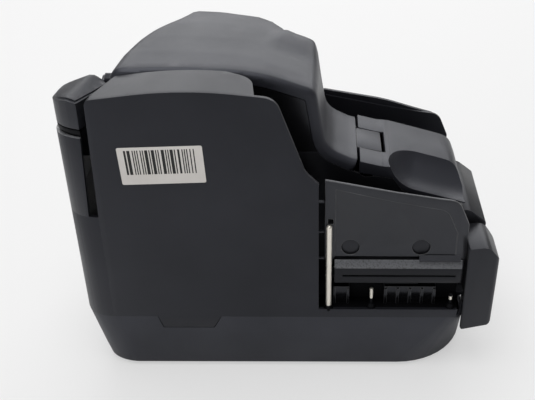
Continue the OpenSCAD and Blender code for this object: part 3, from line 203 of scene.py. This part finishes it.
slot_materials = {
    "case_plastic": case_mat,
    "inner_plastic": inner_mat,
    "dark_plastic": dark_mat,
    "steel": steel_mat,
    "sheet_metal": sheet_mat,
    "rubber": rubber_mat,
    "board": board_mat,
    "paper": paper_mat,
    "card": card_mat,
    "ceramic": ceramic_mat,
    "gear_plastic": gear_mat,
    "brass": brass_mat,
    "label": label_mat,
    "lens": lens_mat,
    "button": button_mat,
}
node_materials = {
    "base_tray": tray_mat,
    "roll_cover": top_mat,
    "cover_catch": top_mat,
    "front_cover": top_mat,
    "near_pocket_wall": scuffed_mat,
    "near_bay_frame": scuffed_mat,
    # The central frame is darkened with painted shade.
    "central_frame": pocket_shade_mat,
    "guide_rod": rod_mat,
    "cover_studs": rod_mat,
    "tear_bar": dark_steel_mat,
    # The document track is near-black with painted shade.
    "track_outer_guide": painted_shade_mat,
    "track_inner_guide": painted_shade_mat,
    "track_floor": painted_shade_mat,
}
node_slot = {s["node"]: s["material_slot"] for s in frame["record"]["subparts"]}
node_body = {n: body for body, names in frame["record"]["behaviour"]["bodies"].items() for n in names}


def finish_of(node):
    """A node's own material, or that of its slot."""
    return node_materials.get(node, slot_materials[node_slot[node]])


for name, obj in nodes.items():
    for slot in obj.material_slots:
        slot.link = "OBJECT"
        slot.material = finish_of(name)


# ---------- changes of shape ----------

# Each change moves one point, in mm. A pair of places is where the change starts and where it is
# whole, and a name that ends in CUTS holds the places along X, Y and Z where faces are split for it.


def ease(value, start, end):
    """0 at start, 1 at end, with a smooth change between them."""
    t = min(max((value - start) / (end - start), 0.0), 1.0)
    return t * t * (3 - 2 * t)


def smooth_curve(place, points):
    """The height at a place of a smooth curve through (place, height) points, level past its ends."""
    if place <= points[0][0]:
        return points[0][1]
    slopes = [(q[1] - p[1]) / (q[0] - p[0]) for p, q in zip(points, points[1:])]
    tangents = [slopes[0]] + [(p + q) / 2 for p, q in zip(slopes, slopes[1:])] + [slopes[-1]]
    for i, ((start, low), (end, high)) in enumerate(zip(points, points[1:])):
        if place <= end:
            span = end - start
            t = (place - start) / span
            leave, arrive = tangents[i] * span, tangents[i + 1] * span
            return (
                low * (1 + 2 * t) * (1 - t) ** 2 + leave * t * (1 - t) ** 2
                + high * t * t * (3 - 2 * t) + arrive * t * t * (t - 1)
            )
    return points[-1][1]


# Near rear corner: how far it is pushed to the rear, the places along X for its lower and for its
# upper part, the heights between which the one gives way to the other, and the places along Y
CORNER_PUSH = 4.5
CORNER_LOW_X = (-105, -128)
CORNER_HIGH_X = (-120, -135)
CORNER_Z = (130, 200)
CORNER_Y = (-24, -52)
# The corner goes no further to the rear than this, just inside the CAD box
REAR_LIMIT = -140.95
CORNER_CUTS = (range(-138, -104, 3), range(-64, -20, 4), ())


def fuller_corner(x, y, z):
    """The near rear corner is rounder than the case plan."""
    low, high = ease(x, *CORNER_LOW_X), ease(x, *CORNER_HIGH_X)
    push = CORNER_PUSH * (low + (high - low) * ease(z, *CORNER_Z)) * ease(y, *CORNER_Y)
    return max(x - push, REAR_LIMIT) if push else x, y, z


# Rear cap: lift of its top at places along X
CAP_LIFT = [(-140, -6.0), (-134, -2.2), (-126, 1.6), (-118, 4.8), (-110, 6.6)]
# Where the top rises: a point of the cap's slanted front edge, the edge's run along X and Y, that
# run's rounded length, and the distances behind the edge over which the lift grows
CAP_EDGE_AT = (-121, -66)
CAP_EDGE_RUN = (9, 27)
CAP_EDGE_LENGTH = 28.5
CAP_EDGE_BLEND = (-1, 9)
# Where the top sinks: the share of that at the near side, and the places along Y over which it grows
# to the whole
CAP_NEAR_SHARE = 0.55
CAP_NEAR_Y = (-67, -46)
# Heights over which the lift grows
CAP_LIFT_Z = (196, 204)
# Foot of the low step on the cap, and the share of the step's height that is kept
CAP_STEP_Z = 205
CAP_STEP_SHARE = 0.4
# The far edge stays clear of the roll cover as it opens
CAP_FAR_Y = -34.8
CAP_CUTS = (range(-138, -108, 3), range(-64, -34, 3), (196, 200, 204))


def domed_cap(x, y, z):
    """The cap's top rises from the rear corner to the roll cover."""
    lift = smooth_curve(x, CAP_LIFT)
    if lift > 0:
        across = (y - CAP_EDGE_AT[1]) * CAP_EDGE_RUN[0] - (x - CAP_EDGE_AT[0]) * CAP_EDGE_RUN[1]
        lift *= ease(across / CAP_EDGE_LENGTH, *CAP_EDGE_BLEND)
    else:
        lift *= CAP_NEAR_SHARE + (1 - CAP_NEAR_SHARE) * ease(y, *CAP_NEAR_Y)
    lift *= ease(z, *CAP_LIFT_Z)
    x, y, z = fuller_corner(x, y, z)
    step = max(z - CAP_STEP_Z, 0) * CAP_STEP_SHARE
    return x, min(y, CAP_FAR_Y), min(z, CAP_STEP_Z) + step + lift


# Roll cover: height of its top at places along X, and the depths under it over which the bulge grows
HUMP_TOP = [
    (-112, 205), (-100, 212), (-68, 216), (-26, 212.5), (-14, 210), (-2, 207), (10, 202.5), (16, 200)
]
HUMP_RIM = (12, 3)
# Bulge along X at places along Y, at the rear and at the front, then the places along X for the rear
# one and for both ends of the front one
HUMP_REAR = [(-34, -4.0), (-10, -7.0), (16, -8.5), (32, -7.5), (46, -3.6), (62, 0.0)]
HUMP_FRONT = [(8, 0.0), (40, 6.0), (62, 5.0)]
HUMP_REAR_X = (-62, -84)
HUMP_FRONT_X = (-44, -22)
HUMP_FRONT_END_X = (22, 6)
# Far front shoulder: how far it goes outwards and up, then the places along Y, and along X for both
# of its ends
SHOULDER_OUT, SHOULDER_UP = 6, 4
SHOULDER_Y = (6, 30)
SHOULDER_X = (-20, -4)
SHOULDER_END_X = (24, 14)
HUMP_CUTS = (range(-110, 26, 6), range(-30, 64, 6), (203, 207, 211))


def fuller_hump(x, y, z):
    """The roll cover's top bulges past its hem, at the rear and at the far front."""
    if x > SHOULDER_END_X[0]:
        return x, y, z
    top = smooth_curve(x, HUMP_TOP)
    high = ease(z, *(top - depth for depth in HUMP_RIM))
    rear = smooth_curve(y, HUMP_REAR) * ease(x, *HUMP_REAR_X)
    front = smooth_curve(y, HUMP_FRONT) * ease(x, *HUMP_FRONT_X) * ease(x, *HUMP_FRONT_END_X)
    shoulder = ease(y, *SHOULDER_Y) * ease(x, *SHOULDER_X) * ease(x, *SHOULDER_END_X)
    return x + high * (rear + front), y + high * SHOULDER_OUT * shoulder, z + high * SHOULDER_UP * shoulder


# Far fin: rise of its top edge at the hump, the places along X over which that fades out, and the
# heights over which it grows
FIN_RISE = 4.6
FIN_X = (62, 116)
FIN_Z = (118, 144)
FIN_CUTS = (range(28, 116, 6), (), range(120, 151, 6))


def taller_fin(x, y, z):
    """The far fin's top edge starts higher at the hump."""
    return x, y, z + FIN_RISE * (1 - ease(x, *FIN_X)) * ease(z, *FIN_Z)


# Ledge of the near bay: its top, the foot of the band below it that is bright with wear and a painted
# highlight, how far the band leans back, and the place along Y that parts the ledge's face from what is
# behind it
LEDGE_Z = 90
BAND_Z = 84.6
BAND_LEAN = 2.4
FACE_Y = -64
BAND_CUTS = ((), (), (BAND_Z,))


def band_tilt(x, y, z):
    """The ledge's bright band, partly wear and partly a painted highlight, leans back."""
    return x, y + BAND_LEAN * ease(z, BAND_Z, LEDGE_Z) * (y < FACE_Y), z


# ---------- faces with another material ----------

# Near bay: the near pocket wall's outer face, a height just below the ledge's front panel, and one
# just above the bay's floor
WALL_Y = -61.5
PANEL_Z = 71
TROUGH_Z = 50.5


def bay_zone(x, y, z, normal):
    """A band along the ledge that is bright with wear and a painted highlight, a dark panel under it and a
    trough that is black with painted shade.
    """
    if z > BAND_Z:
        return band_wear_highlight_mat if y < WALL_Y else panel_mat
    if z > PANEL_Z:
        return panel_mat
    return painted_shade_mat if z > TROUGH_Z or y > FACE_Y else None


# Groove under the rear cap: its heights, and a place along X just past its end
GROOVE_Z = (182.25, 187.2)
GROOVE_END_X = -118
# Lip below the groove, bright with wear and a painted highlight on its upward faces: its foot, the place
# along Y where the brightness ends, and the least vertical part of its faces' normals
LIP_Z = 181.4
LIP_END_Y = -40
LIP_SLOPE = 0.3


def groove_zone(x, y, z, normal):
    """The groove under the cap is black with painted shade, and the lip below it is bright with wear and a
    painted highlight.
    """
    if GROOVE_Z[0] < z < GROOVE_Z[1] and x < GROOVE_END_X:
        return painted_shade_mat
    if LIP_Z < z <= GROOVE_Z[0] and y < LIP_END_Y and abs(normal.z) > LIP_SLOPE:
        return edge_wear_highlight_mat
    return None


# Top of the rod's foot, which is dark with the trough's painted shade
ROD_FOOT_Z = 53.6


def rod_zone(x, y, z, normal):
    """The rod's foot is dark with the trough's painted shade."""
    return painted_shade_mat if z < ROD_FOOT_Z else None


# The tall stud lies to the rear of this place along X and the short one in front of it. Painted shade
# darkens the tall one's foot up to a height, and all of the short one but its part between two heights.
STUDS_X = 80
TALL_STUD_Z = 58.4
SHORT_STUD_Z = (57.5, 60.2)
STUD_CUTS = ((), (), (TALL_STUD_Z, *SHORT_STUD_Z))


def stud_zone(x, y, z, normal):
    """Only part of each stud is bright; the rest is dark with the trough's painted shade."""
    bright = z >= TALL_STUD_Z if x < STUDS_X else SHORT_STUD_Z[0] < z < SHORT_STUD_Z[1]
    return None if bright else painted_shade_mat


# ---------- pieces that stand for CAD nodes ----------

# Points closer than this are one, in metres
WELD = 1e-6
# Faces that meet at a smaller angle than this are one flat face
FLAT = math.radians(0.4)


def split_faces(bm, cuts):
    """Splits faces along planes, at places in mm for each axis, so that they can bend or change material."""
    for axis, places in enumerate(cuts):
        normal = Vector()
        normal[axis] = 1
        for place in places:
            everything = bm.verts[:] + bm.edges[:] + bm.faces[:]
            point = normal * (place * MM)
            bmesh.ops.bisect_plane(bm, geom=everything, dist=WELD, plane_co=point, plane_no=normal)
    bmesh.ops.triangulate(bm, faces=[f for f in bm.faces if len(f.verts) > 4])


def node_mesh(node, shape, cuts):
    """A copy of a CAD node's mesh in its place, split along the cuts and bent by the shape."""
    mesh = nodes[node].data.copy()
    mesh.transform(nodes[node].matrix_world)
    bm = bmesh.new()
    bm.from_mesh(mesh)
    bmesh.ops.remove_doubles(bm, verts=bm.verts, dist=WELD)
    bmesh.ops.dissolve_limit(
        bm, angle_limit=FLAT, use_dissolve_boundaries=False, verts=bm.verts, edges=bm.edges
    )
    if cuts:
        split_faces(bm, cuts)
    if shape:
        for v in bm.verts:
            v.co = Vector(shape(*(v.co / MM))) * MM
    bm.to_mesh(mesh)
    bm.free()
    return mesh


def rounded(obj, width, segments, angle):
    """The object's mesh with its sharp edges rounded, in its second material."""
    if width:
        bevel = obj.modifiers.new("bevel", "BEVEL")
        bevel.width = width * MM
        bevel.segments = segments
        bevel.limit_method = "ANGLE"
        bevel.angle_limit = math.radians(angle)
        bevel.material = 1
        weighted = obj.modifiers.new("normals", "WEIGHTED_NORMAL")
        weighted.keep_sharp = True
    made = bpy.data.meshes.new_from_object(obj.evaluated_get(bpy.context.evaluated_depsgraph_get()))
    obj.modifiers.clear()
    return made


def paint(mesh, zone):
    """Gives each face the material that the zone names for its middle, where it names one."""
    for face in mesh.polygons:
        mat = zone(*(face.center / MM), face.normal)
        if mat:
            if mat.name not in mesh.materials:
                mesh.materials.append(mat)
            face.material_index = mesh.materials.find(mat.name)


def softened(node, width, segments=2, angle=32, edge=edge_mat, smooth=38, shape=None, cuts=(), zone=None):
    """Stands for a CAD node: its moulded edges are rounded by a width in mm, so that they catch light, and
    the rounds take a lighter material that is partly wear and partly a painted highlight.
    """
    mesh = node_mesh(node, shape, cuts)
    mesh.materials.clear()
    mesh.materials.append(finish_of(node))
    mesh.materials.append(edge)
    mesh.polygons.foreach_set("material_index", [0] * len(mesh.polygons))
    obj = bpy.data.objects.new("shell_" + node, mesh)
    bpy.context.scene.collection.objects.link(obj)
    obj.data = rounded(obj, width, segments, angle)
    obj.data.polygons.foreach_set("use_smooth", [True] * len(obj.data.polygons))
    obj.data.set_sharp_from_angle(angle=math.radians(smooth))
    if zone:
        paint(obj.data, zone)
    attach(obj, node_body[node])
    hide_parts(node)


# The rounds of each shell are lighter, partly wear and partly a painted highlight.
softened("near_side_cover", 0.5, segments=3, edge=edge_wear_highlight_mat, shape=fuller_corner, cuts=CORNER_CUTS)
softened("far_side_cover", 0.5)
softened("far_bay_cover", 0.7, segments=3, edge=soft_edge_mat, shape=taller_fin, cuts=FIN_CUTS)
softened("rear_turn_cover", 0.5, shape=fuller_corner, cuts=CORNER_CUTS, zone=groove_zone)
softened("rear_cap", 0.8, segments=3, angle=40, shape=domed_cap, cuts=CAP_CUTS)
softened("base_tray", 0.5, shape=fuller_corner, cuts=CORNER_CUTS)
softened("front_cover", 0.6, segments=3, angle=50)
softened("cover_catch", 0.5)
softened("end_stop", 0.7, segments=3, edge=soft_edge_mat)
softened("receipt_bezel", 0.6)
softened("near_pocket_wall", 0.35, edge=soft_edge_mat)
softened("near_bay_frame", 0.3, shape=band_tilt, cuts=BAND_CUTS, zone=bay_zone)
softened("guide_rod", 0.2, zone=rod_zone)
softened("cover_studs", 0.2, cuts=STUD_CUTS, zone=stud_zone)
softened("pocket_discs", 0.4, edge=edge_wear_highlight_mat)
softened("rib_block", 0.25)
softened("stop_block", 0.25)
softened("central_frame", 0.4)
softened("roll_cover", 0, smooth=55, shape=fuller_hump, cuts=HUMP_CUTS)


# ---------- label ----------

label_low, label_high = (Vector(v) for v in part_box("asset_label"))
LABEL_SIZE = (52.0, 26.0)
LABEL_TILT = math.radians(-2.4)
# Radius of the sheet's corners, and the number of steps in each
LABEL_R = 1.1
LABEL_STEPS = 4
# How far the sheet's back, its face and the ink stand off the case
BACK_LIFT, FACE_LIFT, INK_LIFT = 0.02, 0.13, 0.145
# Bars: their widths, the gaps after them, and the field that they fill, from the label's middle
BAR_WIDTHS = (0.7, 0.7, 1.3, 1.9)
BAR_GAPS = BAR_WIDTHS[:3]
BAR_START, BAR_END = -22.0, 21.4
BAR_LOW, BAR_HIGH = -6.0, 10.9


def on_label(u, v, lift):
    """A point of the label from its middle, in mm, lifted off the case by so much."""
    middle = (label_low + label_high) / 2
    along = Vector((math.cos(LABEL_TILT), 0, -math.sin(LABEL_TILT)))
    up = Vector((math.sin(LABEL_TILT), 0, math.cos(LABEL_TILT)))
    return Vector((middle.x, label_high.y - lift * MM, middle.z)) + (along * u + up * v) * MM


def flat_mesh(name, verts, faces, mat):
    """A mesh in one material, from its points and faces."""
    mesh = bpy.data.meshes.new(name)
    mesh.from_pydata(verts, [], faces)
    mesh.materials.append(mat)
    return mesh


def label_piece(name, mesh):
    """A piece of the label, which is stuck to the case."""
    obj = bpy.data.objects.new(name, mesh)
    bpy.context.scene.collection.objects.link(obj)
    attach(obj, "case")
    return obj


def label_sheet():
    """The paper label, with tight corners and a real thickness."""
    half_l, half_h = LABEL_SIZE[0] / 2 - LABEL_R, LABEL_SIZE[1] / 2 - LABEL_R
    rim = []
    for corner, (sx, sy) in enumerate(((1, 1), (-1, 1), (-1, -1), (1, -1))):
        for step in range(LABEL_STEPS + 1):
            a = math.radians(90 * (corner + step / LABEL_STEPS))
            rim.append((sx * half_l + LABEL_R * math.cos(a), sy * half_h + LABEL_R * math.sin(a)))
    n = len(rim)
    verts = [on_label(u, v, lift) for lift in (BACK_LIFT, FACE_LIFT) for u, v in rim]
    faces = [tuple(range(n - 1, -1, -1)), tuple(range(n, 2 * n))]
    faces += [(i, (i + 1) % n, n + (i + 1) % n, n + i) for i in range(n)]
    sheet = label_piece("shell_asset_label", flat_mesh("label_sheet", verts, faces, label_mat))
    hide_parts("asset_label")


def label_bars():
    """Plain bars of mixed widths: a generic printed pattern that encodes nothing."""
    verts, faces = [], []
    u = BAR_START
    while u < BAR_END:
        width = random.choice(BAR_WIDTHS)
        corners = ((u, BAR_LOW), (u + width, BAR_LOW), (u + width, BAR_HIGH), (u, BAR_HIGH))
        faces.append(tuple(range(len(verts), len(verts) + 4)))
        verts += [on_label(*corner, INK_LIFT) for corner in corners]
        u += width + random.choice(BAR_GAPS)
    label_piece("label_bars", flat_mesh("label_bars", verts, faces, ink_mat))


label_sheet()
label_bars()


# ---------- floor, light and camera ----------

# Half of the floor's side, in metres
FLOOR_HALF = 4.0
FLOOR_COLOR = grey(0.88)
FLOOR_ROUGH = 0.7
# Tone that the camera sees past the object, and the share of it that is mixed into the floor, which
# shows the object's shadow with the rest
BACKDROP = (*grey(0.85), 1)
FLOOR_SHARE = 0.6
# Light from all round
SKY_COLOR = (*grey(1), 1)
SKY_STRENGTH = 0.3
# Soft lamps: place, point that it faces, width and height, all in metres, and watts
LAMPS = {
    "back_panel": ((0.1, 1.7, 1.15), (0, 0, 0.1), (2.6, 1.3), 24),
    "top_panel": ((-0.3, -0.1, 1.8), (0, 0, 0), (1.8, 1.4), 22),
    "front_fill": ((-0.9, -1.8, 0.9), (0, 0, 0.1), (1.4, 1.0), 4),
}
# Place of the camera in metres, its downward pitch, its turn and its roll
CAMERA_AT = (0.025, -0.5118, 0.4233)
PITCH, YAW, ROLL = math.radians(32.493), math.radians(-1.016), math.radians(0.87)
# Focal length and sensor width in mm, and the sideways shift as a share of that width
LENS = 56.4
SENSOR = 36
SHIFT_X = -0.131


def seen_by_camera(tree, lit, seen, output, share=1.0):
    """Mixes a share of what only the camera sees into what lights the object."""
    rays = tree.nodes.new("ShaderNodeLightPath")
    factor = tree.nodes.new("ShaderNodeMath")
    factor.operation = "MULTIPLY"
    factor.inputs[1].default_value = share
    mix = tree.nodes.new("ShaderNodeMixShader")
    tree.links.new(rays.outputs["Is Camera Ray"], factor.inputs[0])
    tree.links.new(factor.outputs[0], mix.inputs[0])
    tree.links.new(lit.outputs[0], mix.inputs[1])
    tree.links.new(seen.outputs[0], mix.inputs[2])
    tree.links.new(mix.outputs[0], output.inputs["Surface"])


def make_floor():
    """A pale floor under the object."""
    mat = principled("floor", FLOOR_COLOR, FLOOR_ROUGH)
    tree = mat.node_tree
    glow = tree.nodes.new("ShaderNodeEmission")
    glow.inputs["Color"].default_value = BACKDROP
    seen_by_camera(tree, tree.nodes["Principled BSDF"], glow, tree.nodes["Material Output"], FLOOR_SHARE)
    corners = [(sx * FLOOR_HALF, sy * FLOOR_HALF, 0) for sx, sy in ((-1, -1), (1, -1), (1, 1), (-1, 1))]
    floor = bpy.data.objects.new("floor", flat_mesh("floor", corners, [(0, 1, 2, 3)], mat))
    bpy.context.scene.collection.objects.link(floor)


def make_lamp(name, place, target, size, watts):
    """A soft rectangular lamp that faces a point."""
    lamp = bpy.data.lights.new(name, "AREA")
    lamp.shape = "RECTANGLE"
    lamp.size, lamp.size_y = size
    lamp.energy = watts
    obj = bpy.data.objects.new(name, lamp)
    obj.location = place
    obj.rotation_euler = (Vector(target) - Vector(place)).to_track_quat("-Z", "Y").to_euler()
    bpy.context.scene.collection.objects.link(obj)


def make_world():
    """Even light, with a plain backdrop for the camera."""
    world = bpy.data.worlds.new("studio")
    bpy.context.scene.world = world
    world.use_nodes = True
    tree = world.node_tree
    sky = tree.nodes["Background"]
    sky.inputs["Color"].default_value = SKY_COLOR
    sky.inputs["Strength"].default_value = SKY_STRENGTH
    seen = tree.nodes.new("ShaderNodeBackground")
    seen.inputs["Color"].default_value = BACKDROP
    seen_by_camera(tree, sky, seen, tree.nodes["World Output"])


def make_camera():
    """The camera looks down on the near side, a little turned and rolled."""
    forward = Vector((-math.sin(YAW) * math.cos(PITCH), math.cos(YAW) * math.cos(PITCH), -math.sin(PITCH)))
    right = Vector((math.cos(YAW), math.sin(YAW), 0))
    up = right.cross(forward)
    side = right * math.cos(ROLL) + up * math.sin(ROLL)
    top = up * math.cos(ROLL) - right * math.sin(ROLL)
    data = bpy.data.cameras.new("camera")
    data.lens = LENS
    data.sensor_width = SENSOR
    data.shift_x = SHIFT_X
    camera = bpy.data.objects.new("camera", data)
    turn = Matrix((side, top, -forward)).transposed().to_4x4()
    camera.matrix_world = Matrix.Translation(CAMERA_AT) @ turn
    bpy.context.scene.collection.objects.link(camera)
    bpy.context.scene.camera = camera


make_floor()
for lamp_name, setting in LAMPS.items():
    make_lamp(lamp_name, *setting)
make_world()
make_camera()
bpy.context.scene.view_settings.view_transform = "Standard"
